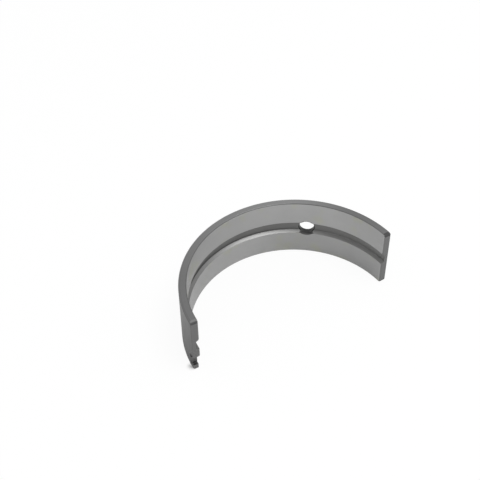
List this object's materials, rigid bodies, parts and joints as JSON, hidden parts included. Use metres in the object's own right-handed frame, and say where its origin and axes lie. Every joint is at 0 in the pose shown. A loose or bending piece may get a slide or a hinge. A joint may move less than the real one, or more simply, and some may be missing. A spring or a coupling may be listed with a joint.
{
  "type": "engine bearing shell",
  "caption": "Half-round plain bearing shell for an engine crankshaft, with a central oil groove, a radial oil hole, a locating tang beside its end and chamfered edges.",
  "frame": {"origin": "on the journal axis, in the plane of the side face that the shell stands on", "axes": "+Z along the journal axis, +Y from the journal axis to the crown of the shell, +X to the end without the tang"},
  "size_m": [0.0723, 0.0346, 0.0214],
  "materials": {
    "bearing_metal": "satin grey metal, fine-bored on the bearing surface"
  },
  "bodies": {
    "root": {"bearing_shell": "bearing_metal"}
  },
  "joints": []
}
